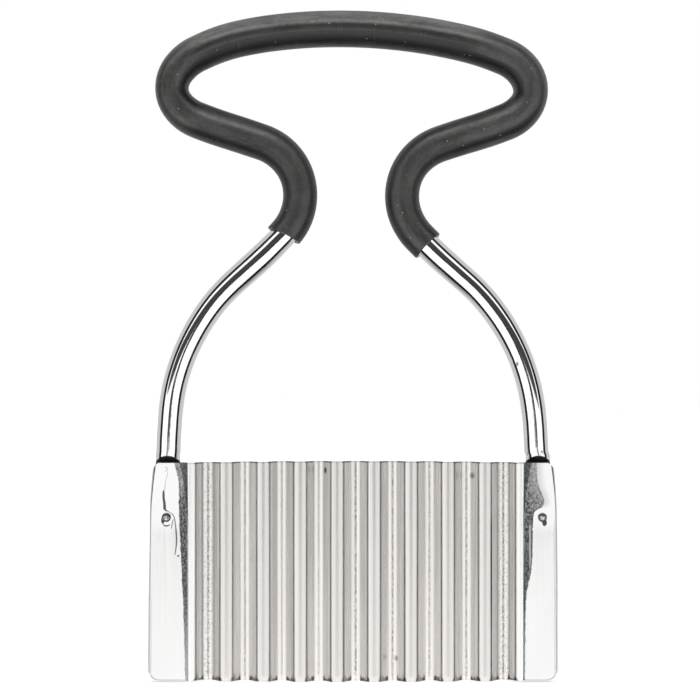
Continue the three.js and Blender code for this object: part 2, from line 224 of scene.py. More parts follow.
def handleRoute(v):
    # both sides joined by two arcs that meet at the top; length is counted from there to the right
    halves = {}
    sides = {side: sideRoute(v, side) for side in (-1, 1)}
    shares = {side: math.tan((math.pi - sides[side][-1, 2]) / 2) for side in sides}
    ends = {side: (side * sides[side][-1, 0], sides[side][-1, 1]) for side in sides}
    apexX = ends[1][1] - ends[-1][1] + ends[1][0] * shares[1] + ends[-1][0] * shares[-1]
    apexX /= shares[1] + shares[-1]
    for side, stops in sides.items():
        angle = math.pi - stops[-1, 2]
        radius = (stops[-1, 0] - side * apexX) / math.sin(angle)
        count = round(radius * angle / v["stepLength"])
        arc = []
        for i in range(1, count + 1):
            left = angle * (1 - i / count)
            x = side * apexX + radius * math.sin(left)
            z = stops[-1, 1] + radius * (math.cos(left) - math.cos(angle))
            arc.append((x, z, math.pi - left, stops[-1, 3] + radius * angle * i / count, 1 / radius))
        halves[side] = np.concatenate([stops, arc])
    right, left = halves[1][::-1].copy(), halves[-1].copy()
    right[:, 2] -= math.pi
    right[:, 3] = right[0, 3] - right[:, 3]
    left[:, 0] *= -1
    left[:, 2] = math.pi - left[:, 2]
    left[:, 3] -= left[-1, 3]
    whole = np.concatenate([left[:-1], right])
    drift = readTable(routeDrift, whole[:, 3])
    reach = v["smoothing"]
    window = np.full(2 * reach + 1, 1 / (2 * reach + 1))
    drift = np.convolve(np.pad(drift, reach, mode="edge"), window, mode="valid")
    heading = whole[:, 2].copy()
    whole[:, 0] += drift * np.sin(heading)
    whole[:, 1] -= drift * np.cos(heading)
    whole[1:-1, 2] = np.arctan2(whole[2:, 1] - whole[:-2, 1], whole[2:, 0] - whole[:-2, 0])
    whole[1:-1, 2] += 2 * np.pi * np.round((heading[1:-1] - whole[1:-1, 2]) / (2 * np.pi))
    return whole


route = handleRoute(routeValues)
routeEnds = {-1: route[0, 3], 1: route[-1, 3]}


def routeAt(along):
    return [float(np.interp(along, route[:, 3], route[:, i])) for i in (0, 1, 2)]


# handle tube
tubeValues = {
    "wall": 0.8,
    "endLift": 3.0,
    "sides": 60,
    "smoothAngle": 20.0,
    "stepHeight": 58.85,  # top of the sharp press mark above the sheet
    "stepFoot": 57.0,
    "stepBite": 1.0,  # half the thickness left at the foot of the mark
    "stepBlend": 1.6,  # run over which the pressed leg becomes the foot of the mark
    "ringGap": 1.5,
    "fineGap": 0.5,
    "fineFrom": 50.0,
    "stepRings": 18,
    # the bent tube is a little wider past the sleeve: (length from the top, extra radius)
    "swell": [
        (0, 0.0), (108, 0.1), (112, 0.2), (117, 0.27), (123, 0.24), (129, 0.17), (136, 0.11),
        (145, 0.07), (153, 0.0),
    ],
}


def ringAngles(count):
    return (np.arange(count) + 0.5) / count * 2 * math.pi


def legOutline(z, side, inset, v):
    # outline of a pressed leg at a height, as side and depth offsets
    angles = ringAngles(v["sides"])
    if z > v["stepFoot"]:
        radius = cutterValues["tubeRadius"]
        share = (z - v["stepFoot"]) / (v["stepHeight"] - v["stepFoot"])
        cut = v["stepBite"] + (radius - v["stepBite"]) * min(1.0, share)
        outline = np.stack([radius * np.cos(angles), radius * np.sin(angles)], 1)
        outline[:, 1] = np.clip(outline[:, 1], -cut, cut)
        return outline * (1 - inset / radius)
    half = pressedHalf(z)
    ease = min(1.0, max(0.0, (z - pressTop + v["stepBlend"]) / v["stepBlend"]))
    half = half + (v["stepBite"] - half) * ease
    wide = girthHalf(half) + (cutterValues["tubeRadius"] - girthHalf(half)) * ease
    shift = wide - half
    outline = np.stack([(half - inset) * np.cos(angles), (half - inset) * np.sin(angles)], 1)
    outline[:, 0] += np.where(np.cos(angles) > 0, shift, (1 - ease) * taperAt(z, side) - shift)
    return outline


def makeHandleTube(v):
    heights = list(np.arange(v["endLift"], v["fineFrom"], v["ringGap"]))
    heights += list(np.arange(v["fineFrom"], v["stepFoot"], v["fineGap"]))
    heights += list(np.linspace(v["stepFoot"], v["stepHeight"], v["stepRings"])[1:])
    outer, inner, skinOuter, skinInner = [], [], [], []
    angles = ringAngles(v["sides"])

    def addLeg(side, levels):
        for z in levels:
            along = routeEnds[side] + side * (stepTop - z)
            for inset, rings, skins in ((0.0, outer, skinOuter), (v["wall"], inner, skinInner)):
                outline = legOutline(z, side, inset, v)
                rings.append([(side * (legX - u), d, z) for u, d in outline])
                skins.append([(along, u, d) for u, d in outline])

    addLeg(-1, heights)
    for x, z, heading, along, _ in route:
        if z <= v["stepHeight"]:
            continue
        for inset, rings, skins in ((0.0, outer, skinOuter), (v["wall"], inner, skinInner)):
            radius = cutterValues["tubeRadius"] - inset + readTable(v["swell"], abs(along))
            outline = list(zip(radius * np.cos(angles), radius * np.sin(angles)))
            rings.append([(x + u * math.sin(heading), d, z - u * math.cos(heading)) for u, d in outline])
            skins.append([(along, u, d) for u, d in outline])
    addLeg(1, heights[::-1])
    return pipeObject("bent_tube", outer + inner, skinOuter + skinInner, v)


bentTube = makeHandleTube(tubeValues)
print("handle tube made:", len(bentTube.data.polygons), "faces")

# rubber sleeve
sleeveValues = {
    "gap": 0.3,
    "depthShare": 0.955,
    "reachPastNeck": 1.6,
    "shift": 1.6,
    "leftSkew": 17.0,  # the left end is cut askew
    "leanBack": 7.0,  # the cut ends look a little towards the front
    "cutRun": 1.2,  # how far from the ends the slant of the cuts reaches
    "lip": 0.22,
    "endRings": [0.0, 0.05, 0.12, 0.25, 0.6],
    "plainFrom": 1.4,
    "smoothing": 2.0,  # evens out the radius table
    "sides": 60,
    "smoothAngle": 50.0,
}

# the sleeve is drawn thin round the bends: (length from the top, radius)
sleeveRadius = [
    (-110, 4.48), (-104, 4.48), (-98, 4.43), (-92, 4.47), (-86, 4.6), (-80, 4.69), (-74, 4.73),
    (-62, 4.75), (-59, 4.7), (-56, 4.57), (-53, 4.42), (-50, 4.32), (-47, 4.46), (-44, 4.63),
    (-41, 4.68), (-38, 4.74), (-14, 4.76), (10, 4.77), (22, 4.79), (46, 4.82), (49, 4.8), (52, 4.74),
    (55, 4.57), (58, 4.47), (61, 4.66), (64, 4.78), (67, 4.83), (73, 4.76), (82, 4.71), (88, 4.65),
    (91, 4.59), (94, 4.52), (97, 4.47), (110, 4.43),
]


def makeSleeve(v):
    r = routeValues
    leg = r["legStraight"] - cutterValues["stepRise"] + r["shoulderStraight"]
    leg += r["legRadius"] * math.radians(r["legAngle"])
    start = routeEnds[-1] + leg - v["reachPastNeck"] + v["shift"]
    end = routeEnds[1] - leg + v["reachPastNeck"] + v["shift"]
    inside = [s for s in route[:, 3] if start + v["plainFrom"] < s < end - v["plainFrom"]]
    stations = [start + e for e in v["endRings"]] + inside + [end - e for e in v["endRings"][::-1]]
    window = np.linspace(-v["smoothing"], v["smoothing"], 9)
    outer, inner, skinOuter, skinInner = [], [], [], []
    for along in stations:
        x, z, heading = routeAt(along)
        radius = readTable(sleeveRadius, along + window).mean()
        fromEnd = min(along - start, end - along)
        lip = v["lip"] * (1 - math.sqrt(max(0.0, 1 - (1 - min(1.0, fromEnd / v["lip"])) ** 2)))
        nearStart = max(0.0, 1 - (along - start) / v["cutRun"])
        nearEnd = max(0.0, 1 - (end - along) / v["cutRun"])
        skew = math.tan(math.radians(v["leftSkew"])) * nearStart
        lean = math.tan(math.radians(v["leanBack"])) * (nearStart - nearEnd)
        for wall, rings, skins in (
            (radius - lip, outer, skinOuter),
            (cutterValues["tubeRadius"] + v["gap"], inner, skinInner),
        ):
            ring, skin = [], []
            for angle in ringAngles(v["sides"]):
                u, d = wall * math.cos(angle), wall * math.sin(angle) * v["depthShare"]
                onward = u * skew - d * lean  # the slant of the cut
                placeX = x + u * math.sin(heading) + onward * math.cos(heading)
                placeZ = z - u * math.cos(heading) + onward * math.sin(heading)
                ring.append((placeX, d, placeZ))
                skin.append((along, u, d))
            rings.append(ring)
            skins.append(skin)
    return pipeObject("rubber_sleeve", outer + inner, skinOuter + skinInner, v)


rubberSleeve = makeSleeve(sleeveValues)
print("rubber sleeve made:", len(rubberSleeve.data.polygons), "faces")

# node helpers
class NodeWriter:
    # adds nodes to a tree; any number or socket can be fed to an input
    def __init__(self, tree):
        self.nodes, self.links = tree.nodes, tree.links

    def put(self, value, socket):
        if isinstance(value, bpy.types.NodeSocket):
            self.links.new(value, socket)
        else:
            socket.default_value = value

    def add(self, kind, given=None, **settings):
        node = self.nodes.new(kind)
        for name, value in settings.items():
            setattr(node, name, value)
        for name, value in (given or {}).items():
            self.put(value, node.inputs[name])
        return node

    def math(self, operation, *values):
        return self.add("ShaderNodeMath", dict(enumerate(values)), operation=operation).outputs[0]

    def plus(self, a, b):
        return self.math("ADD", a, b)

    def minus(self, a, b):
        return self.math("SUBTRACT", a, b)

    def over(self, a, b):
        return self.math("DIVIDE", a, b)

    def invert(self, mask):
        return self.minus(1.0, mask)

    def apart(self, a, b):
        return self.math("ABSOLUTE", self.minus(a, b))

    def lift(self, base, share, reach):
        # the base value with a share of the reach on top
        return self.math("MULTIPLY_ADD", share, reach, base)

    def vary(self, noise, reach, base):
        # a noise that swings round the base value
        return self.lift(base, self.minus(noise, 0.5), reach)

    def parts(self, vector):
        return self.add("ShaderNodeSeparateXYZ", {0: vector}).outputs

    def ramp(self, value, low, high, start=0.0, stop=1.0, kind="SMOOTHSTEP"):
        given = {"Value": value, "From Min": low, "From Max": high, "To Min": start, "To Max": stop}
        return self.add("ShaderNodeMapRange", given, interpolation_type=kind).outputs[0]

    def all(self, *masks):
        result = masks[0]
        for mask in masks[1:]:
            result = self.math("MULTIPLY", result, mask)
        return result

    def most(self, *masks):
        result = masks[0]
        for mask in masks[1:]:
            result = self.math("MAXIMUM", result, mask)
        return result


# corrugated field, by nodes
fieldValues = {
    "arcSteps": 9,
    "rows": [0.0, 0.3, 0.6, 0.9, 1.2, 1.6] + [2.5 + 1.0 * i for i in range(54)] + [56.6, 57.3],
}


def corrugationTree():
    # bends a zigzag into the rolled profile, then stands it up on the rows of the input mesh
    tree = bpy.data.node_groups.new("corrugationRolls", "GeometryNodeTree")
    for kind, names in (
        ("Geometry", ["Rows"]),
        ("Int", ["Troughs", "Arc Steps"]),
        ("Float", ["Pitch", "Crest Radius", "Trough Radius", "Slope Angle", "Depth", "Middle Y"]),
        ("Material", ["Steel"]),
    ):
        for name in names:
            tree.interface.new_socket(name, in_out="INPUT", socket_type="NodeSocket" + kind)
    tree.interface.new_socket("Field", in_out="OUTPUT", socket_type="NodeSocketGeometry")
    w = NodeWriter(tree)
    given = w.add("NodeGroupInput").outputs
    result = w.add("NodeGroupOutput")

    def switch(test, whenFalse, whenTrue):
        sockets = {"Switch": test, "False": whenFalse, "True": whenTrue}
        return w.add("GeometryNodeSwitch", sockets, input_type="FLOAT").outputs[0]

    index = w.add("GeometryNodeInputIndex").outputs[0]
    half = w.all(given["Pitch"], given["Troughs"], 0.5)
    count = w.lift(3.0, given["Troughs"], 2.0)
    inset = w.all(given["Crest Radius"], w.math("TANGENT", w.all(given["Slope Angle"], 0.5)))
    # x of each bend: evenly spaced, held at the ends, the end bends pulled in
    raw = w.minus(w.all(w.minus(index, 1.0), given["Pitch"], 0.5), half)
    held = w.math("MINIMUM", w.most(raw, w.all(half, -1.0)), half)
    isFirstBend = w.math("COMPARE", index, 1.0, 0.1)
    isLastBend = w.math("COMPARE", index, w.minus(count, 2.0), 0.1)
    bendX = w.lift(held, w.minus(isFirstBend, isLastBend), inset)
    # y of each bend: the corner outside the rolled radius
    corner = w.minus(w.over(1.0, w.math("COSINE", given["Slope Angle"])), 1.0)
    near = w.all(given["Depth"], -0.5)
    crestY = w.minus(near, w.all(given["Crest Radius"], corner))
    troughY = w.minus(w.all(given["Trough Radius"], corner), near)
    isOdd = w.math("MODULO", index, 2.0)
    isLate = w.math("GREATER_THAN", index, w.minus(count, 2.5))
    isEnd = w.most(w.math("LESS_THAN", index, 1.5), isLate)
    bendY = switch(isEnd, switch(isOdd, troughY, crestY), near)
    radius = switch(isOdd, given["Trough Radius"], given["Crest Radius"])
    radius = switch(isEnd, radius, given["Crest Radius"])

    line = w.add("GeometryNodeMeshLine", {"Count": count})
    place = w.add("ShaderNodeCombineXYZ", {"X": bendX, "Y": w.plus(bendY, given["Middle Y"])})
    zigzag = w.add("GeometryNodeSetPosition", {"Geometry": line.outputs[0], "Position": place.outputs[0]})
    curve = w.add("GeometryNodeMeshToCurve", {"Mesh": zigzag.outputs[0]})
    bends = {"Curve": curve.outputs[0], "Radius": radius, "Count": given["Arc Steps"]}
    profile = w.add("GeometryNodeFilletCurve", bends, mode="POLY").outputs[0]

    def pointCount(geometry, component):
        node = w.add("GeometryNodeAttributeDomainSize", {0: geometry}, component=component)
        return node.outputs["Point Count"]

    def sampled(geometry, at):
        position = w.add("GeometryNodeInputPosition").outputs[0]
        sockets = {"Geometry": geometry, "Value": position, "Index": at}
        node = w.add("GeometryNodeSampleIndex", sockets, data_type="FLOAT_VECTOR", domain="POINT")
        return w.parts(node.outputs[0])

    columns, rows = pointCount(profile, "CURVE"), pointCount(given["Rows"], "MESH")
    grid = w.add("GeometryNodeMeshGrid", {"Vertices X": columns, "Vertices Y": rows})
    across = sampled(profile, w.math("FLOOR", w.over(index, rows)))
    upward = sampled(given["Rows"], w.math("MODULO", index, rows))
    stand = w.add("ShaderNodeCombineXYZ", {"X": across["X"], "Y": across["Y"], "Z": upward["Z"]})
    raised = {"Geometry": grid.outputs["Mesh"], "Position": stand.outputs[0]}
    field = w.add("GeometryNodeSetPosition", raised)
    realize = w.add("GeometryNodeRealizeInstances", {0: field.outputs[0]})
    steel = w.add("GeometryNodeSetMaterial", {"Geometry": realize.outputs[0], "Material": given["Steel"]})
    w.put(steel.outputs[0], result.inputs[0])
    return tree


def rolledField(v, steel):
    # the middle surface of the corrugated field as an array of columns and rows, in millimetres
    mesh = bpy.data.meshes.new("fieldRows")
    heights = v["rows"]
    mesh.from_pydata([(0, 0, z) for z in heights], [(i, i + 1) for i in range(len(heights) - 1)], [])
    blank = bpy.data.objects.new("fieldRows", mesh)
    bpy.context.scene.collection.objects.link(blank)
    rolls = blank.modifiers.new("rolls", "NODES")
    rolls.node_group = corrugationTree()
    given = {
        "Troughs": cutterValues["troughs"],
        "Pitch": cutterValues["pitch"],
        "Crest Radius": cutterValues["crestRadius"],
        "Trough Radius": cutterValues["troughRadius"],
        "Slope Angle": slope,
        "Depth": fieldDepth,
        "Middle Y": fieldY,
        "Arc Steps": v["arcSteps"],
        "Steel": steel,
    }
    for item in rolls.node_group.interface.items_tree:
        if item.item_type == "SOCKET" and item.in_out == "INPUT" and item.name in given:
            rolls[item.identifier] = given[item.name]
    evaluated = blank.evaluated_get(bpy.context.evaluated_depsgraph_get())
    rolled = bpy.data.meshes.new_from_object(evaluated)
    points = np.array([p.co for p in rolled.vertices]).reshape(-1, len(heights), 3)
    bow = cutterValues["bow"] * np.minimum(1.0, points[:, :, 0] / halfField) ** 2
    points[:, :, 2] = bow + points[:, :, 2] * (1 - 2 * bow / cutterValues["bladeHeight"])
    points[:, :, 0] += cutterValues["fieldShift"]
    bpy.data.objects.remove(blank)
    bpy.data.meshes.remove(rolled)
    return points


# material helpers
class Paint(NodeWriter):
    # a material on the principled shader
    def __init__(self, name):
        self.material = bpy.data.materials.new(name)
        self.material.use_nodes = True
        super().__init__(self.material.node_tree)
        self.shader = self.nodes["Principled BSDF"]

    def skin(self):
        return self.add("ShaderNodeAttribute", attribute_name="skin").outputs["Vector"]

    def place(self, source=None, scale=(1000.0, 1000.0, 1000.0), turn=(0.0, 0.0, 0.0)):
        # object coordinates in millimetres unless another source is given
        if source is None:
            source = self.add("ShaderNodeTexCoord").outputs["Object"]
        return self.add("ShaderNodeMapping", {"Vector": source, "Rotation": turn, "Scale": scale}).outputs[0]

    def noise(self, vector, scale, detail=3.0, rough=0.5):
        given = {"Vector": vector, "Scale": scale, "Detail": detail, "Roughness": rough}
        return self.add("ShaderNodeTexNoise", given).outputs[0]

    def grain(self, scale, size=1.0, detail=3.0, rough=0.5):
        # a noise through the piece, stretched by a scale for each axis
        return self.noise(self.place(scale=scale), size, detail, rough)

    def cells(self, vector, scale):
        outputs = self.add("ShaderNodeTexVoronoi", {"Vector": vector, "Scale": scale}).outputs
        return outputs["Distance"], self.parts(outputs["Color"])

    def mix(self, factor, a, b, blend="MIX"):
        given = {"Factor": factor, 6: a, 7: b}
        return self.add("ShaderNodeMix", given, data_type="RGBA", blend_type=blend).outputs[2]

    def curve(self, value, low, high, table):
        # a value read from a table of (place, reading) pairs
        node = self.add("ShaderNodeFloatCurve", {"Value": self.ramp(value, low, high, kind="LINEAR")})
        readings = [r for _, r in table]
        base, reach = min(readings), max(readings) - min(readings)
        line = node.mapping.curves[0]
        while len(line.points) < len(table):
            line.points.new(0.5, 0.5)
        for point, (at, reading) in zip(line.points, sorted(table)):
            point.location = ((at - low) / (high - low), (reading - base) / reach)
        node.mapping.update()
        return self.lift(base, node.outputs[0], reach)

    def stroke(self, x, z, table):
        # a line down the piece from (height, place, half width) rows; a width below zero ends it
        low, high = min(r[0] for r in table), max(r[0] for r in table)
        middle = self.curve(z, low, high, [(r[0], r[1]) for r in table])
        width = self.curve(z, low, high, [(r[0], r[2]) for r in table])
        return self.ramp(self.minus(self.apart(x, middle), width), 0.07, -0.07)

    def blob(self, x, z, centre, reach, soft=0.25):
        # a soft spot, 1 inside an ellipse
        across = self.over(self.minus(x, centre[0]), reach[0])
        upward = self.over(self.minus(z, centre[1]), reach[1])
        away = self.plus(self.math("POWER", across, 2.0), self.math("POWER", upward, 2.0))
        return self.ramp(self.math("SQRT", away), 1 + soft, 1 - soft)

    def line(self, x, middle, outer, inner):
        # a soft line at a distance from the middle
        return self.ramp(self.apart(x, middle), outer, inner)

    def bump(self, height, strength, distance, under=None):
        given = {"Strength": strength, "Distance": distance, "Height": height}
        if under is not None:
            given["Normal"] = under
        return self.add("ShaderNodeBump", given).outputs[0]

    def finish(self, color, roughness, normal=None, metallic=0.0):
        given = {"Base Color": color, "Roughness": roughness, "Metallic": metallic}
        if normal is not None:
            given["Normal"] = normal
        for name, value in given.items():
            self.put(value, self.shader.inputs[name])
        return self.material


def grey(level, warm=0.0):
    return (level * (1 + warm), level, level * (1 - warm), 1.0)


# finishes
chromeFinish = {
    "level": 0.80,
    "roughLow": 0.045,
    "roughHigh": 0.11,
    "drawBump": 0.06,
    "pitGrey": 0.18,
    "scratchGrey": 0.42,
    "pressShadeGrey": 0.13,
    "archTop": 58.6,  # crown of the arch of painted shade on the press mark above the sheet
    "archDrop": 0.95,
    "archReach": 3.1,
    "nick": ((42.6, 82.6), (0.34, 0.6), 0.4),  # centre, reach, softness
}


def tubeChrome(v):
    p = Paint("tube_chrome")
    skin = p.skin()
    drawn = p.noise(p.place(skin, (0.04, 5.0, 5.0)), 1.0, 2.0)  # faint lines along the drawn tube
    smudge = p.noise(p.place(skin, (0.16, 0.5, 0.5)), 1.0, 4.0, 0.6)
    rough = p.ramp(smudge, 0.35, 0.75, v["roughLow"], v["roughHigh"])
    pits, pitTone = p.cells(skin, 0.55)
    pit = p.all(p.ramp(pits, 0.12, 0.05), p.ramp(pitTone["X"], 0.90, 0.93))
    scratch = p.noise(p.place(skin, (0.9, 9.0, 9.0), (0.0, 0.0, 0.6)), 1.0, 2.0)
    scratched = p.ramp(scratch, 0.73, 0.78)
    tone = p.mix(p.all(pit, 0.75), grey(v["level"], -0.006), grey(v["pitGrey"], 0.04))
    tone = p.mix(p.all(scratched, 0.25), tone, grey(v["scratchGrey"]))
    at, along = p.parts(p.place()), p.parts(skin)
    # painted shade under an arch on the press mark above the sheet, and the right leg has a small nick
    front = p.math("LESS_THAN", at["Y"], 0.0)
    arch = p.math("POWER", p.over(along["Y"], v["archReach"]), 2.0)
    arch = p.lift(at["Z"], arch, v["archDrop"])
    pressShade = p.all(p.ramp(arch, v["archTop"], v["archTop"] - 0.25), front)
    nick = p.all(p.blob(at["X"], at["Z"], *v["nick"]), front)
    tone = p.mix(p.most(p.all(pressShade, 0.9), p.all(nick, 0.85)), tone, grey(v["pressShadeGrey"]))
    rough = p.lift(rough, p.most(pit, scratched, p.all(pressShade, 1.6)), 0.25)
    normal = p.bump(drawn, v["drawBump"], 0.00002)
    normal = p.bump(smudge, 0.05, 0.0002, normal)
    return p.finish(tone, rough, normal, 1.0)


rubberFinish = {
    "dark": 0.003,
    "wearAndPaintedLight": 0.2,  # grey of the lightest rubber, where wear and painted highlight are strongest
    "uneven": 2.6,
    "dusty": 1.5,
    "banded": 1.2,
    "roughLow": 0.32,
    "roughHigh": 0.46,
    "dustGrey": 0.50,
    "speckGrey": 0.20,
    "scuffGrey": 0.14,
}

# lengths from the top of the loop at which one table of bands goes over to the next
lightAndWearRuns = {"top": (42.0, 33.0), "turn": (64.0, 58.0), "neck": (76.0, 84.0)}
# light and dark bands along the rubber, wear and the studio's light in one, set against the photo:
# (place round it from the outside of the loop to its inside, how grey)
lightAndWearRound = {
    "top": [
        (-4.8, 0.07), (-4.2, 0.15), (-3.0, 0.17), (-2.2, 0.115), (-1.8, 0.15), (-0.6, 0.032),
        (0.6, 0.046), (1.0, 0.008), (3.0, 0.008), (4.2, 0.07), (4.8, 0.1),
    ],
    "turn": [
        (-4.8, 0.07), (-3.6, 0.07), (-3.2, 0.052), (-2.4, 0.085), (0.0, 0.062), (1.6, 0.058),
        (2.4, 0.003), (3.2, 0.005), (4.0, 0.055), (4.8, 0.06),
    ],
    "bar": [
        (-4.8, 0.045), (-4.2, 0.065), (-3.4, 0.02), (-2.8, 0.012), (-1.4, 0.07), (1.0, 0.075),
        (1.8, 0.12), (2.6, 0.07), (3.4, 0.056), (4.2, 0.002), (4.8, 0.002),
    ],
    "neck": [
        (-4.8, 0.06), (-4.0, 0.045), (-3.2, 0.022), (-2.0, 0.05), (0.0, 0.046), (2.0, 0.07),
        (3.2, 0.03), (3.8, 0.03), (4.2, 0.05), (4.8, 0.06),
    ],
}


def sleeveRubber(v):
    p = Paint("sleeve_rubber")
    skin = p.skin()
    bands = p.noise(p.place(skin, (0.02, 0.5, 0.5)), 1.0, 4.0, 0.55)  # lengthwise bands of the mould
    patches = p.noise(p.place(skin, (0.09, 0.32, 0.32)), 1.0, 5.0, 0.65)
    dusty = p.noise(p.place(skin, (0.6, 1.1, 1.1)), 1.0, 5.0, 0.75)
    around, along = p.parts(skin)["Y"], p.math("ABSOLUTE", p.parts(skin)["X"])
    shares = {name: p.ramp(along, *run) for name, run in lightAndWearRuns.items()}
    shares["turn"] = p.all(p.invert(shares["top"]), shares["turn"])
    taken = p.plus(p.plus(shares["top"], shares["turn"]), shares["neck"])
    shares["bar"] = p.invert(taken)
    # painted highlight towards the outside of the loop and painted shade on its inside, mixed with wear
    wearAndPaintedLight = 0.0
    for name, share in shares.items():
        wearAndPaintedLight = p.lift(wearAndPaintedLight, p.curve(around, -4.8, 4.8, lightAndWearRound[name]), share)
    uneven = p.vary(patches, v["uneven"], 1.0)
    uneven = p.vary(dusty, v["dusty"], uneven)
    uneven = p.vary(bands, v["banded"], uneven)
    wearAndPaintedLight = p.math("MAXIMUM", p.all(wearAndPaintedLight, uneven), 0.0)
    tone = p.mix(p.over(wearAndPaintedLight, v["wearAndPaintedLight"]), grey(v["dark"], 0.02), grey(v["wearAndPaintedLight"], 0.03))
    near, nearTone = p.cells(skin, 0.5)
    speck = p.all(p.ramp(near, 0.11, 0.05), p.ramp(nearTone["X"], 0.66, 0.68))  # dust
    fine, fineTone = p.cells(skin, 1.3)
    fineSpeck = p.all(p.ramp(fine, 0.15, 0.06), p.ramp(fineTone["Y"], 0.74, 0.76))
    hair = p.noise(p.place(skin, (2.2, 0.35, 0.35), (0.3, 0.5, 0.9)), 1.0, 2.0)
    scuff = p.all(p.ramp(hair, 0.66, 0.70), p.ramp(patches, 0.42, 0.55))
    tone = p.mix(p.all(scuff, 0.4), tone, grey(v["scuffGrey"], 0.01))
    tone = p.mix(p.all(fineSpeck, 0.5), tone, grey(v["speckGrey"], 0.02))
    tone = p.mix(p.all(speck, 0.8), tone, grey(v["dustGrey"], 0.02))
    grain = p.noise(skin, 5.5, 4.0, 0.65)
    rough = p.vary(grain, 0.12, p.ramp(bands, 0.3, 0.7, v["roughHigh"], v["roughLow"]))
    normal = p.bump(patches, 0.3, 0.00015)
    normal = p.bump(grain, 0.30, 0.00005, normal)
    normal = p.bump(p.most(speck, scuff), 0.25, 0.00004, normal)
    return p.finish(tone, rough, normal)


# the blade's ends, its ground edge and where the rivets go
bladeValues = {
    "edgeHeight": 1.2,
    "edgeThickness": 0.12,
    "stripWidth": 0.22,  # bright strip past the last crest
    "stripRise": 0.06,
    "facetAngle": 36.0,  # lean of the facet between that strip and the panel
    "facetRound": 0.3,
    "flapTuck": 0.35,
    "outerBend": 0.6,
    "bendGrowth": 0.55,  # how much the bend widens with the tube behind it
    "outerSteps": 10,
    "footLift": 0.15,  # the folded ends stop short of the ground edge
    "footRun": 1.2,
    "lowerCorner": 2.6,
    "upperCornerWidth": 2.0,
    "upperCornerDrop": 5.2,
    "rivetHeight": 42.8,
    "rivetX": {-1: 48.35, 1: 49.15},  # the right one sits a little further out
    "rivetHole": 0.9,
    "drillLength": 12.0,
    "leastStep": 0.001,  # columns closer than this are one
    "holeSides": 32,
    "smoothAngle": 38.0,
}

bladeFinish = {
    "level": 0.715,
    "warm": 0.026,
    "panelLevel": 0.67,
    "roughField": 0.28,
    "roughPanel": 0.10,
    "creaseHighlightGrey": 0.79,
    "glintGrey": 0.98,
    # painted highlight on the front of the panels' outer edge
    "browHighlightGrey": 0.96,  # front of the panels' outer edge, kept as bright as in the photo
    "foldShadeGrey": 0.56,  # painted shade on the side wall of the fold
    "markGrey": 0.035,
    "creaseShadeX": 44.45,  # painted shade line that the right crease keeps down to the edge
    "crackX": 35.9,
    "streakX": 45.95,  # painted highlight streak in the right wedge of painted shade
}

# edges of the painted shade wedges beside the creases: (height, distance from the middle)
wedgeLeft = [
    (0, 43.5), (12, 43.8), (22, 44.1), (30, 44.5), (37, 44.8), (44, 45.1), (50, 45.1), (54, 45.6),
    (57.3, 46.4),
]
wedgeRight = [
    (0, 44.6), (8, 44.65), (21, 44.9), (26, 45.7), (31.5, 46.5), (41, 46.7), (43.5, 46.9), (45, 48.2),
    (46.6, 49.6), (47.6, 49.5), (49.3, 48.8), (52, 48.0), (57.3, 47.6),
]
# how strongly each trough's middle line is speckled: (place, share)
speckledTroughs = [
    (-38, 1.0), (-28.6, 0.6), (-19, 0.4), (-9, 0.35), (0.5, 0.95), (10, 0.8), (19.5, 0.6),
    (29.3, 0.75), (39, 1.0),
]
# painted highlight and painted shade across each wave
# tone across one wave from the trough's middle, set against the photo: (place, share)
waveLightAndShade = [
    (-4.9, 1.0), (-3.6, 0.9), (-3.1, 1.1), (-2.6, 0.97), (-2.1, 1.14), (-1.0, 1.05), (1.0, 1.06),
    (2.1, 1.14), (2.6, 1.02), (3.1, 1.08), (4.2, 0.92), (4.9, 1.0),
]
# dark smears on the waves: (centre, reach, softness, strength)
smearSpots = [
    ((-7.15, 54.9), (0.32, 0.8), 0.5, 1.0),
    ((31.1, 53.5), (0.5, 0.7), 0.7, 0.7),
    ((11.3, 5.9), (0.45, 0.7), 0.6, 0.6),
]
# marks left beside the left rivet, from the top: (height, place, half width)
leftMarks = {
    "thin": [
        (55, -47.98, -0.15), (54.1, -48.07, 0.08), (52.3, -48.46, 0.08), (49.7, -48.85, 0.1),
        (49.2, -48.95, -0.1),
    ],
    "thick": [
        (50.0, -49.12, -0.3), (49.3, -49.08, 0.26), (47.9, -49.06, 0.3), (46.3, -48.85, 0.33),
        (45.2, -48.82, 0.35), (44.6, -48.5, 0.25), (44.2, -48.2, -0.2),
    ],
    "curl": [
        (44.8, -48.2, -0.2), (44.4, -47.94, 0.18), (43.7, -46.9, 0.16), (42.65, -46.3, 0.14),
        (40.6, -45.99, 0.15), (38.75, -45.81, 0.2), (36.7, -45.73, 0.2), (34.6, -45.91, 0.14),
        (33.3, -46.12, 0.1), (32.8, -46.2, -0.2),
    ],
    "tick": [
        (42.5, -46.52, -0.2), (42.1, -46.64, 0.13), (40.8, -46.9, 0.14), (40.0, -47.08, 0.1),
        (39.6, -47.1, -0.2),
    ],
}


def wedgeMasks(p, x, y, z, side, onPanel):
    # painted shade wedges beside the creases: the wedge itself and the soft shade past the right one
    isRight = p.math("GREATER_THAN", x, 0.0)
    edgeLeft = p.curve(z, 0.0, 58.0, wedgeLeft)
    edgeRight = p.curve(z, 0.0, 58.0, wedgeRight)
    edge = p.plus(edgeLeft, p.all(isRight, p.minus(edgeRight, edgeLeft)))
    rag = p.grain((1000.0, 1000.0, 600.0), 1.3, 4.0, 0.65)
    ragged = p.minus(p.vary(rag, 0.9, side), edge)
    front = p.ramp(y, 0.3, -0.3)
    paintedWedgeShade = p.all(p.ramp(ragged, 0.08, -0.12), onPanel, front)
    shade = p.all(p.ramp(ragged, 2.4, 0.0), p.ramp(z, 44.6, 46.5), isRight, onPanel, front)
    paler = p.all(isRight, p.ramp(x, 45.3, 46.8), p.ramp(z, 44.0, 45.5))
    return paintedWedgeShade, shade, paler


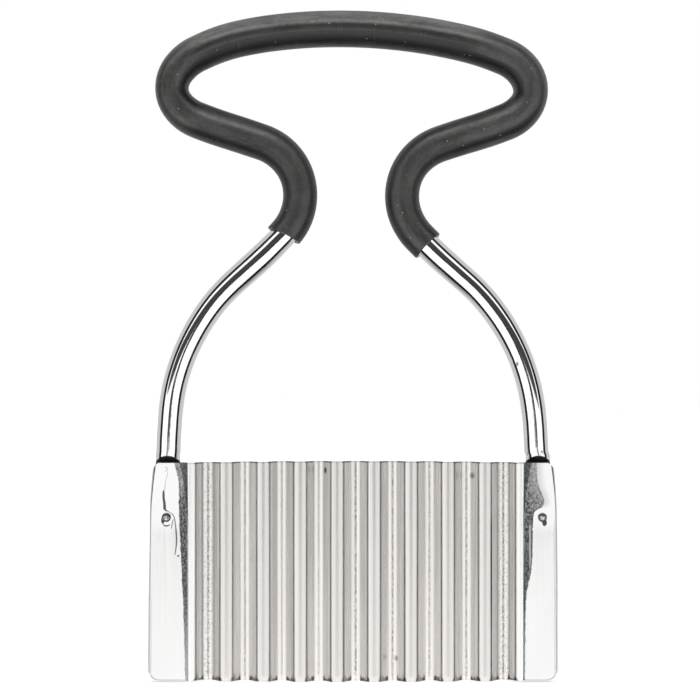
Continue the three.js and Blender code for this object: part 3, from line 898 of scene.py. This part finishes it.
def panelMarksAndShade(p, x, y, z):
    # scores round the rivets on the front of the folded ends, and painted shade below the rivet heads
    marks = {name: p.stroke(x, z, table) for name, table in leftMarks.items()}
    leftX, rightX = -bladeValues["rivetX"][-1], bladeValues["rivetX"][1]
    rivetZ = bladeValues["rivetHeight"]
    loop = p.all(p.blob(x, z, (-48.55, 55.35), (0.62, 0.6), 0.12), p.math("GREATER_THAN", x, -48.6))
    loop = p.all(loop, p.invert(p.blob(x, z, (-48.65, 55.35), (0.5, 0.42), 0.12)))
    # painted shade below the rivet heads
    leftHeadShade = p.blob(x, z, (leftX - 0.95, rivetZ - 0.75), (0.42, 0.95))
    lip = p.blob(x, z, (leftX, rivetZ - 1.55), (1.0, 0.85), 0.12)
    lip = p.all(lip, p.invert(p.blob(x, z, (leftX, rivetZ - 1.1), (1.25, 0.95), 0.12)))
    spike = p.blob(x, z, (rightX + 0.55, rivetZ - 1.35), (0.6, 0.9))
    nick = p.all(p.blob(x, z, (-45.3, 32.8), (0.28, 0.25)), 0.8)
    dark = p.all(p.most(marks["thick"], leftHeadShade, lip, spike), 0.93)
    shares = ((marks["thin"], 0.5), (marks["curl"], 0.72), (marks["tick"], 0.6), (loop, 0.45))
    faint = p.most(*[p.all(mark, share) for mark, share in shares])
    return p.all(p.most(dark, faint, nick), p.math("LESS_THAN", y, 0.0))


def bladeSteel(v):
    p = Paint("blade_steel")
    at = p.parts(p.place())
    x, y, z = at["X"], at["Y"], at["Z"]
    side = p.math("ABSOLUTE", x)
    fromField = p.minus(x, cutterValues["fieldShift"])
    past = p.math("ABSOLUTE", fromField)
    onPanel = p.ramp(past, halfField + 0.3, halfField + 0.5)
    onField = p.invert(onPanel)
    waves = p.over(fromField, cutterValues["pitch"])
    across = p.all(p.minus(waves, p.math("ROUND", waves)), cutterValues["pitch"])
    off = p.math("ABSOLUTE", across)
    onSlope = p.all(p.ramp(off, 1.15, 1.5), p.ramp(off, 3.7, 3.3), onField)
    endWaves = p.ramp(past, 31.0, 36.0)
    bowed = p.all(p.math("POWER", p.over(past, halfField), 2.0), cutterValues["bow"])

    streaks = p.grain((9000.0, 2500.0, 45.0), rough=0.6)
    broad = p.grain((1100.0, 300.0, 22.0))
    drawn = p.grain((2400.0, 600.0, 14.0), detail=2.0)
    mottle = p.grain((1000.0, 1000.0, 750.0), 2.1, 4.0, 0.75)
    cloud = p.grain((120.0, 120.0, 60.0))
    low, high = grey(v["level"] * 0.95, v["warm"]), grey(v["level"] * 1.05, v["warm"])
    tone = p.mix(p.ramp(streaks, 0.3, 0.7), low, high)
    shared = p.all(p.ramp(broad, 0.42, 0.68), p.lift(0.2, onSlope, 0.65))
    tone = p.mix(shared, tone, grey(v["level"] * 0.78, v["warm"]))
    # painted highlight on the bright strips and painted shade on the slopes beside the crests
    tone = p.mix(1.0, tone, p.curve(across, -5.0, 5.0, waveLightAndShade), "MULTIPLY")
    tone = p.mix(p.ramp(drawn, 0.46, 0.68, 0.0, 0.3), tone, grey(v["level"] * 0.72, v["warm"]))
    # the strips beside the creases are kept as bright as in the photo
    # painted highlight on the strips beside the creases, strongest in the narrow glint next to each crease
    creaseHighlight = p.ramp(past, halfField - 2.4, halfField - 0.6)
    creaseHighlight = p.all(creaseHighlight, p.ramp(past, halfField + 0.5, halfField + 0.3))
    tone = p.mix(creaseHighlight, tone, grey(v["creaseHighlightGrey"], 0.006))
    glint = p.ramp(past, halfField - 0.55, halfField - 0.2)
    glint = p.all(glint, p.ramp(past, halfField + 0.3, halfField + 0.2))
    tone = p.mix(glint, tone, grey(v["glintGrey"]))
    # pressed troughs keep a dark dotted line along their middle
    dots = p.grain((2600.0, 800.0, 2100.0), rough=0.7)
    strong = p.curve(x, -44.0, 44.0, speckledTroughs)
    line = p.all(p.ramp(off, 0.38, 0.14), p.ramp(dots, 0.44, 0.58, 0.15, 1.0), strong, onField, 0.75)
    rash = p.grain((3200.0, 1000.0, 1900.0), detail=2.0, rough=0.6)
    rash = p.all(p.ramp(rash, 0.53, 0.63), p.ramp(off, 2.0, 1.0), endWaves, onField, 0.4)
    rim = p.all(p.line(off, 1.55, 0.2, 0.06), endWaves, onField, 0.55)
    tone = p.mix(p.most(line, rash, rim), tone, grey(0.10, 0.03))
    crack = p.all(p.line(x, v["crackX"], 0.24, 0.08), p.ramp(z, 44.0, 40.0, 0.45, 1.0))
    crack = p.all(crack, p.ramp(z, 6.0, 24.0, 0.5, 1.0), 0.93)
    tone = p.mix(crack, tone, grey(0.03))
    # painted shade along the cut edge above and the ground edge below, on the slopes
    topLine = p.ramp(p.plus(z, bowed), 56.85, 57.1)
    topLine = p.all(topLine, p.lift(0.3, onSlope, 0.5), onField)
    jag = p.grain((900.0, 900.0, 300.0), rough=0.6)
    foot = p.vary(jag, 3.0, p.minus(z, bowed))
    foot = p.all(p.ramp(foot, 1.1, 0.5), onSlope, p.ramp(across, -3.4, -1.2, 0.35, 0.8))
    smears = p.most(*[p.all(p.blob(x, z, *spot), strength) for *spot, strength in smearSpots])
    smears = p.all(smears, p.math("LESS_THAN", y, 2.2))
    tone = p.mix(p.most(topLine, foot, smears), tone, grey(0.06, 0.02))

    # the folded ends
    # painted shade in the wedges beside the creases, for the dark reflection of the facets there
    paintedWedgeShade, shade, paler = wedgeMasks(p, x, y, z, side, onPanel)
    shiny = p.mix(p.ramp(cloud, 0.3, 0.7), grey(v["panelLevel"]), grey(v["panelLevel"] * 0.97, 0.008))
    tone = p.mix(onPanel, tone, shiny)
    tone = p.mix(p.all(shade, 0.55), tone, grey(0.36, -0.01))
    # mottled dark tone of the painted shade wedges, paler in the right one's upper part
    scale = p.mix(p.ramp(mottle, 0.44, 0.60), grey(0.015), grey(0.27, -0.01))
    paleWedgeShade = p.mix(p.ramp(mottle, 0.4, 0.62), grey(0.14, -0.01), grey(0.36, -0.01))
    scale = p.mix(p.all(paler, 0.75), scale, paleWedgeShade)
    fading = p.all(paintedWedgeShade, p.ramp(z, 4.0, 24.0, 0.5, 0.94), p.ramp(z, 46.0, 53.0, 1.0, 0.84))
    tone = p.mix(fading, tone, scale)
    # painted highlight streak in the right wedge
    streak = p.all(p.line(x, v["streakX"], 0.34, 0.12), p.ramp(z, 27.0, 33.0))
    streak = p.all(streak, p.ramp(z, 41.5, 40.0), paintedWedgeShade, 0.85)
    tone = p.mix(streak, tone, grey(0.55))
    # painted highlight on the front of the panels' outer edge
    browHighlight = p.all(p.ramp(side, 52.0, 52.6), onPanel)
    tone = p.mix(p.all(browHighlight, p.ramp(y, -0.8, -1.2), 0.8), tone, grey(v["browHighlightGrey"]))
    # painted shade on the side wall of the fold
    fold = p.all(p.ramp(side, 49.9, 50.4), onPanel, p.ramp(y, -1.2, -0.8), p.ramp(y, 1.6, 1.2))
    tone = p.mix(fold, tone, grey(v["foldShadeGrey"]))
    # painted shade line below the right crease, down towards the edge
    creaseShade = p.all(p.line(x, v["creaseShadeX"], 0.3, 0.08), p.ramp(z, 36.0, 24.0))
    creaseShade = p.all(creaseShade, p.ramp(z, 13.0, 22.0, 0.5, 1.0), p.ramp(y, 0.3, -0.3), 0.75)
    marks = p.most(panelMarksAndShade(p, x, y, z), creaseShade)
    tone = p.mix(marks, tone, grey(v["markGrey"]))

    rough = p.vary(streaks, 0.16, v["roughField"])
    rough = p.lift(rough, onPanel, v["roughPanel"] - v["roughField"])
    rough = p.lift(rough, p.most(paintedWedgeShade, marks), 0.2)
    edges = p.most(p.all(browHighlight, p.ramp(z, 50.0, 40.0, 0.75, 1.0)), fold)
    rough = p.lift(rough, edges, 0.48)
    normal = p.bump(streaks, 0.10, 0.00002)
    normal = p.bump(p.all(mottle, paintedWedgeShade), 0.3, 0.00008, normal)
    return p.finish(tone, rough, normal, 1.0)


rivetFinish = {
    "level": 0.68,
    "rough": 0.22,
    "pits": {-1: (0.4, 0.05), 1: (0.1, 0.45)},  # painted shade spot in each head's dimple, from its centre
}


def rivetSteel(v):
    p = Paint("rivet_steel")
    here = p.place()
    at = p.parts(here)
    x, z = at["X"], at["Z"]
    wearAndPaintedLight = p.noise(here, 2.6, 4.0, 0.6)
    fine = p.noise(here, 11.0, 3.0, 0.6)
    # painted shade ring round the rim of each head and a painted shade spot in its dimple
    rings = []
    for side, spot in v["pits"].items():
        centre = (side * bladeValues["rivetX"][side], bladeValues["rivetHeight"])
        head = p.blob(x, z, centre, (1.06, 1.06), 0.06)
        bright = p.blob(x, z, centre, (0.72, 0.72), 0.12)
        pit = p.blob(x, z, (centre[0] + spot[0], centre[1] + spot[1]), (0.24, 0.3))
        rings += [p.all(head, p.invert(bright)), p.all(pit, 0.85)]
    tone = p.mix(p.ramp(wearAndPaintedLight, 0.4, 0.65), grey(v["level"] * 0.85, 0.01), grey(v["level"]))
    tone = p.mix(p.all(p.most(*rings), p.ramp(wearAndPaintedLight, 0.3, 0.6, 0.75, 1.0)), tone, grey(0.04))
    rough = p.ramp(fine, 0.3, 0.7, v["rough"] - 0.08, v["rough"] + 0.1)
    return p.finish(tone, rough, p.bump(wearAndPaintedLight, 0.4, 0.00008), 1.0)


chrome = tubeChrome(chromeFinish)
rubber = sleeveRubber(rubberFinish)
steel = bladeSteel(bladeFinish)
rivet = rivetSteel(rivetFinish)
print("finishes made")

# blade with its folded ends
foldSteps = {"strip": 4, "facet": 3, "round": 8, "panel": 14, "back": 10, "tuck": 6, "flap": 4}


def foldLine(z, side, v):
    # middle line of a folded end at one height, from the last crest to the flap's free edge,
    # worked out as a right end
    half = pressedHalf(z)
    crestX = halfField + side * cutterValues["fieldShift"]
    radius = half + sheetOffset
    shift = girthHalf(half) - half
    creaseY = fieldY - fieldDepth / 2
    lean = math.radians(v["facetAngle"])
    rise = radius + creaseY - v["stripRise"]  # how far the panel stands in front of the crease
    creaseX = crestX + v["stripWidth"]
    apexX = creaseX + rise / math.tan(lean)
    cutBack = v["facetRound"] * math.tan(lean / 2)
    points = []

    def shares(name):
        return [i / foldSteps[name] for i in range(1, foldSteps[name] + 1)]

    for share in shares("strip"):
        points.append((crestX + v["stripWidth"] * share, creaseY - v["stripRise"] * share**2))
    for share in shares("facet"):
        along = (rise / math.sin(lean) - cutBack) * share
        points.append((creaseX + along * math.cos(lean), creaseY - v["stripRise"] - along * math.sin(lean)))
    start = apexX + cutBack
    for share in shares("round"):
        angle = lean * (1 - share)
        inward = v["facetRound"] * math.sin(angle)
        points.append((start - inward, -radius + v["facetRound"] * (1 - math.cos(angle))))
    # the sheet is hammered close round the tube's edge, so its outer bends are tight
    corner = min(radius, v["outerBend"] + v["bendGrowth"] * (half - cutterValues["flatHalf"]))
    outerX = legX + shift + radius - corner - taperAt(z, side)
    for share in shares("panel"):
        points.append((start + (outerX - start) * share, -radius))
    quarter = math.pi / 2
    for sign in (-1, 1):
        for i in range(0 if sign > 0 else 1, v["outerSteps"] + 1):
            share = i / v["outerSteps"]
            angle = -quarter * (1 - share) if sign < 0 else quarter * share
            reach = sign * (radius - corner) + corner * math.sin(angle)
            points.append((outerX + corner * math.cos(angle), reach))
    flapY = cutterValues["flatHalf"] + sheetOffset - v["flapTuck"]
    innerX = legX - shift
    away = math.hypot(halfField - innerX, flapY)
    tangent = math.atan2(flapY, halfField - innerX) - math.acos(min(1.0, radius / away))
    for share in shares("back"):
        points.append((outerX + (innerX - outerX) * share, radius))
    for share in shares("tuck"):
        angle = quarter + (tangent - quarter) * share
        points.append((innerX + radius * math.cos(angle), radius * math.sin(angle)))
    last = points[-1]
    for share in shares("flap"):
        points.append((last[0] + (halfField - last[0]) * share, last[1] + (flapY - last[1]) * share))
    return np.array(points)


def cornerLimits(x, side, v):
    # lowest and highest place of the sheet at a distance from the middle
    cover = cutterValues["seatGap"] + cutterValues["sheet"]
    wide = legX + girthHalf(cutterValues["flatHalf"]) + cover
    low = cutterValues["bow"] + v["footLift"] * min(1.0, max(0.0, (x - halfField) / v["footRun"]))
    high = cutterValues["bladeHeight"] - cutterValues["bow"]
    topZ = high - v["upperCornerDrop"]
    wideTop = legX + girthHalf(pressedHalf(topZ)) + cover - taperAt(topZ, side)

    def rounding(edge, width, height):
        share = max(0.0, (x - (edge - width)) / width)
        return height * (1 - math.sqrt(max(0.0, 1 - min(1.0, share) ** 2)))

    low += rounding(wide, v["lowerCorner"], v["lowerCorner"])
    high -= rounding(wideTop, v["upperCornerWidth"], v["upperCornerDrop"])
    return low, high


def foldedEnd(side, v):
    # one folded end as columns and rows, worked out as a right end
    heights = np.array(fieldValues["rows"])
    fold = np.array([foldLine(z, side, v) for z in heights])
    grid = np.zeros((fold.shape[1], len(heights), 3))
    grid[:, :, :2] = fold.transpose(1, 0, 2)
    grid[:, :, 2] = heights
    # the rounded corners: each column is squeezed between its own lowest and highest place
    table = {}
    for column in range(grid.shape[0]):
        reach = grid[column, :, 0] + cutterValues["sheet"] / 2
        low = cornerLimits(reach[0], side, v)[0]
        high = cornerLimits(reach[-1], side, v)[1]
        squeezed = low + (heights / heights[-1]) * (high - low)
        for row, z in enumerate(squeezed):
            key = round(float(z), 2)
            if key not in table:
                table[key] = foldLine(key, side, v)
            grid[column, row] = (*table[key][column], z)
    return grid


def makeBlade(v):
    field = rolledField(fieldValues, steel)
    gaps = np.linalg.norm(field[1:, 0] - field[:-1, 0], axis=1)
    keep = [0] + [i + 1 for i in range(len(gaps)) if gaps[i] > v["leastStep"]]
    left = foldedEnd(-1, v)[::-1].copy()
    left[:, :, 0] *= -1
    middle = np.concatenate([left, field[keep], foldedEnd(1, v)])
    step = np.gradient(middle, axis=0)
    flat = np.stack([step[:, :, 1], -step[:, :, 0]], 2)
    before = middle[1:-1, :, :2] - middle[:-2, :, :2]
    after = middle[2:, :, :2] - middle[1:-1, :, :2]
    before /= np.linalg.norm(before, axis=2, keepdims=True)
    after /= np.linalg.norm(after, axis=2, keepdims=True)
    mean = before + after
    mean /= np.linalg.norm(mean, axis=2, keepdims=True)
    stretch = 1 / np.clip((mean * before).sum(2), 0.6, 1.0)  # keeps the sheet's thickness in a bend
    flat /= np.linalg.norm(flat, axis=2, keepdims=True)
    flat[1:-1, :, 0] = mean[:, :, 1] * stretch
    flat[1:-1, :, 1] = -mean[:, :, 0] * stretch
    thick = np.interp(middle[:, :, 2], [0.0, v["edgeHeight"]], [v["edgeThickness"], cutterValues["sheet"]])
    thick[:, 0] = v["edgeThickness"]
    front, back = middle.copy(), middle.copy()
    front[:, :, :2] += flat * thick[:, :, None] / 2
    back[:, :, :2] -= flat * thick[:, :, None] / 2
    columns, rows = middle.shape[:2]
    points = np.concatenate([front.reshape(-1, 3), back.reshape(-1, 3)]) * mm
    other = columns * rows
    faces = []
    for i in range(columns - 1):
        for j in range(rows - 1):
            a, b = i * rows + j, (i + 1) * rows + j
            faces.append((a, b, b + 1, a + 1))
            faces.append((other + a, other + a + 1, other + b + 1, other + b))
        for j, turned in ((0, False), (rows - 1, True)):
            a, b = i * rows + j, (i + 1) * rows + j
            rim = (a, other + a, other + b, b)
            faces.append(rim[::-1] if turned else rim)
    for i, turned in ((0, True), (columns - 1, False)):
        for j in range(rows - 1):
            a = i * rows + j
            rim = (a, other + a, other + a + 1, a + 1)
            faces.append(rim[::-1] if turned else rim)
    piece = meshObject("crinkle_blade", points, faces, v["smoothAngle"])
    drillRivetHoles(piece, v)
    return piece


def drillRivetHoles(piece, v):
    for side in (-1, 1):
        bpy.ops.mesh.primitive_cylinder_add(
            vertices=v["holeSides"],
            radius=v["rivetHole"] * mm,
            depth=v["drillLength"] * mm,
            location=(side * v["rivetX"][side] * mm, 0, v["rivetHeight"] * mm),
            rotation=(math.pi / 2, 0, 0),
        )
        drill = bpy.context.object
        cut = piece.modifiers.new("rivetHole", "BOOLEAN")
        cut.operation = "DIFFERENCE"
        cut.solver = "EXACT"
        cut.object = drill
        drilled = bpy.data.meshes.new_from_object(piece.evaluated_get(bpy.context.evaluated_depsgraph_get()))
        piece.modifiers.clear()
        piece.data = drilled
        bpy.data.objects.remove(drill)


crinkleBlade = makeBlade(bladeValues)
print("blade made:", len(crinkleBlade.data.polygons), "faces")

# rivets
rivetValues = {
    "head": 1.2,
    "rise": 0.45,
    "dimple": 0.62,
    "dimpleDepth": 0.3,
    "shank": 0.7,
    "dimpleSteps": 6,
    "headSteps": 8,
    "sides": 40,
    "smoothAngle": 45.0,
}


def makeRivet(name, side, v):
    # a staked pin: low head with a dimple in front, plain low head behind
    seat = pressedHalf(bladeValues["rivetHeight"]) + 2 * cutterValues["seatGap"] + cutterValues["sheet"]
    profile = []
    for i in range(v["dimpleSteps"] + 1):
        share = i / v["dimpleSteps"]
        depth = -seat - v["rise"] + v["dimpleDepth"] * (1 - share * share)
        profile.append((v["dimple"] * share, depth))
    for i in range(1, v["headSteps"] + 1):
        angle = math.pi / 2 * i / v["headSteps"]
        radius = v["dimple"] + (v["head"] - v["dimple"]) * math.sin(angle)
        profile.append((radius, -seat - v["rise"] * math.cos(angle)))
    profile += [(v["shank"], -seat), (v["shank"], seat)]
    for i in range(v["headSteps"] + 1):
        angle = math.pi / 2 * (1 - i / v["headSteps"])
        profile.append((v["head"] * math.sin(angle), seat + v["rise"] * math.cos(angle)))
    sides = v["sides"]
    centreX, centreZ = side * bladeValues["rivetX"][side], bladeValues["rivetHeight"]
    points, faces = [(centreX, profile[0][1], centreZ)], []
    for radius, depth in profile[1:-1]:
        for k in range(sides):
            angle = 2 * math.pi * k / sides
            points.append((centreX + radius * math.cos(angle), depth, centreZ + radius * math.sin(angle)))
    points.append((centreX, profile[-1][1], centreZ))
    rings = len(profile) - 2
    last = 1 + (rings - 1) * sides
    for k in range(sides):
        n = (k + 1) % sides
        faces.append((0, 1 + k, 1 + n))
        for i in range(rings - 1):
            a, b = 1 + i * sides, 1 + (i + 1) * sides
            faces.append((a + k, b + k, b + n, a + n))
        faces.append((last + k, len(points) - 1, last + n))
    return meshObject(name, np.array(points) * mm, faces, v["smoothAngle"])


leftPin = makeRivet("left_pin", -1, rivetValues)
rightPin = makeRivet("right_pin", 1, rivetValues)
print("rivets made")

# pieces on the frame
for piece, node, slotName, finish in (
    (bentTube, "handle_tube", "tube_chrome", chrome),
    (rubberSleeve, "grip_sleeve", "grip_rubber", rubber),
    (crinkleBlade, "blade", "blade_steel", steel),
    (leftPin, "left_rivet", "rivet_steel", rivet),
    (rightPin, "right_rivet", "rivet_steel", rivet),
):
    piece.data.materials.clear()
    piece.data.materials.append(finish)
    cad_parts[node].data.materials.clear()
    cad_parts[node].data.materials.append(finish)
    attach(piece, "root")
    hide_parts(node)
print("pieces ride on the frame")

# camera
cameraValues = {
    "distance": 720.0,
    "pixel": 0.26,  # millimetres for each of the photograph's pixels at the tube's plane
    "pixels": 700,
    "sensor": 36.0,
    "middleX": -0.75,
    "middleZ": 86.2,
    "nearest": 50.0,
    "farthest": 20000.0,
}


def makeCamera(v):
    camera = bpy.data.objects.new("camera", bpy.data.cameras.new("camera"))
    camera.data.sensor_width = v["sensor"]
    camera.data.lens = v["sensor"] * v["distance"] / (v["pixels"] * v["pixel"])
    camera.location = (v["middleX"] * mm, -v["distance"] * mm, v["middleZ"] * mm)
    camera.rotation_euler = (math.pi / 2, 0, 0)
    camera.data.clip_start, camera.data.clip_end = v["nearest"] * mm, v["farthest"] * mm
    bpy.context.scene.collection.objects.link(camera)
    bpy.context.scene.camera = camera


# studio; edges are pairs of directions between which a surface of the tent begins or ends
studioValues = {
    "boxLevel": 1.45,  # front light tent, as metal sees it
    "boxEdge": (0.38, 0.46),
    "backLevel": 0.70,
    "ringEdge": (-0.05, 0.02),  # dark ring round the tent's mouth
    "gapLevel": 0.02,
    "bandTop": (0.67, 0.61),  # dark ceiling above the camera
    "bandSides": (0.86, 0.78),
    "bandRise": 0.2,  # its lower edge rises to the sides
    "bandReach": 0.28,
    "bandCurve": 0.5,
    "bandDark": 0.97,
    "slitSides": (0.285, 0.215),  # dark slit below it, where the camera stands
    "slitFoot": (-0.052, -0.036),
    "slitTop": (0.12, 0.08),
    "slitDark": 0.98,
    "underEdge": (-0.60, -0.78),
    "underShare": 0.45,  # less light comes from under the cutter
    "topEdge": (0.64, 0.76),
    "topLevel": 2.4,  # extra light straight overhead
    "backdropEdge": (0.80, 0.92),
    "backdropShare": 0.27,
    "floorSize": 6000.0,
    "floorDrop": 0.02,
    "floorGrey": 0.80,
    "floorGlow": 0.54,
}


def makeFloor(v):
    bpy.ops.mesh.primitive_plane_add(size=v["floorSize"] * mm, location=(0, 0, -v["floorDrop"] * mm))
    floor = bpy.context.object
    floor.name = "pale_floor"
    p = Paint("pale_floor")
    seen = p.add("ShaderNodeLightPath").outputs["Is Camera Ray"]
    p.put(p.all(seen, v["floorGlow"]), p.shader.inputs["Emission Strength"])
    p.put((1.0, 1.0, 1.0, 1.0), p.shader.inputs["Emission Color"])
    floor.data.materials.append(p.finish(grey(v["floorGrey"]), 0.9))
    floor.visible_glossy = False


def makeWorld(v):
    world = bpy.data.worlds.new("studio")
    bpy.context.scene.world = world
    world.use_nodes = True
    world.node_tree.nodes.clear()
    w = NodeWriter(world.node_tree)
    looking = w.parts(w.add("ShaderNodeTexCoord").outputs["Generated"])
    ahead = w.all(looking["Y"], -1.0)  # 1 straight in front of the cutter
    aside = w.math("ABSOLUTE", looking["X"])
    up = looking["Z"]
    tent = w.ramp(ahead, *v["boxEdge"])
    gap = w.all(w.ramp(ahead, *v["ringEdge"]), w.invert(tent))
    lowEdge = w.all(w.math("MINIMUM", aside, v["bandReach"]), v["bandRise"])
    lowEdge = w.plus(lowEdge, w.ramp(looking["X"], 0.03, -0.03, 0.0, 0.03))
    highEdge = w.plus(up, w.all(aside, aside, v["bandCurve"]))
    band = w.all(w.ramp(w.minus(up, lowEdge), 0.0, 0.03), w.ramp(highEdge, *v["bandTop"]))
    band = w.all(band, w.ramp(aside, *v["bandSides"]), tent, v["bandDark"])
    slit = w.all(w.ramp(aside, *v["slitSides"]), w.ramp(up, *v["slitFoot"]), tent)
    slit = w.all(slit, w.ramp(up, *v["slitTop"]), v["slitDark"])
    dark = w.most(gap, band, slit)
    level = w.plus(w.all(tent, v["boxLevel"]), w.all(w.invert(tent), v["backLevel"]))
    level = w.plus(w.all(level, w.invert(dark)), w.all(dark, v["gapLevel"]))
    level = w.all(level, w.ramp(up, *v["underEdge"], 1.0, v["underShare"]))
    level = w.plus(level, w.all(w.ramp(up, *v["topEdge"], 0.0, v["topLevel"]), tent))
    # the backdrop is white in view and through glass, and the metal shows part of it behind the cutter
    path = w.add("ShaderNodeLightPath").outputs
    behind = w.ramp(w.all(ahead, -1.0), *v["backdropEdge"], 0.0, v["backdropShare"])
    seen = w.most(path["Is Camera Ray"], path["Is Transmission Ray"], w.all(path["Is Glossy Ray"], behind))
    strength = w.plus(w.all(level, w.invert(seen)), seen)
    white = {"Color": (1.0, 1.0, 1.0, 1.0), "Strength": strength}
    background = w.add("ShaderNodeBackground", white)
    w.add("ShaderNodeOutputWorld", {"Surface": background.outputs[0]})


makeCamera(cameraValues)
makeFloor(studioValues)
makeWorld(studioValues)
print("studio made")

bpy.context.scene.view_settings.view_transform = "Standard"
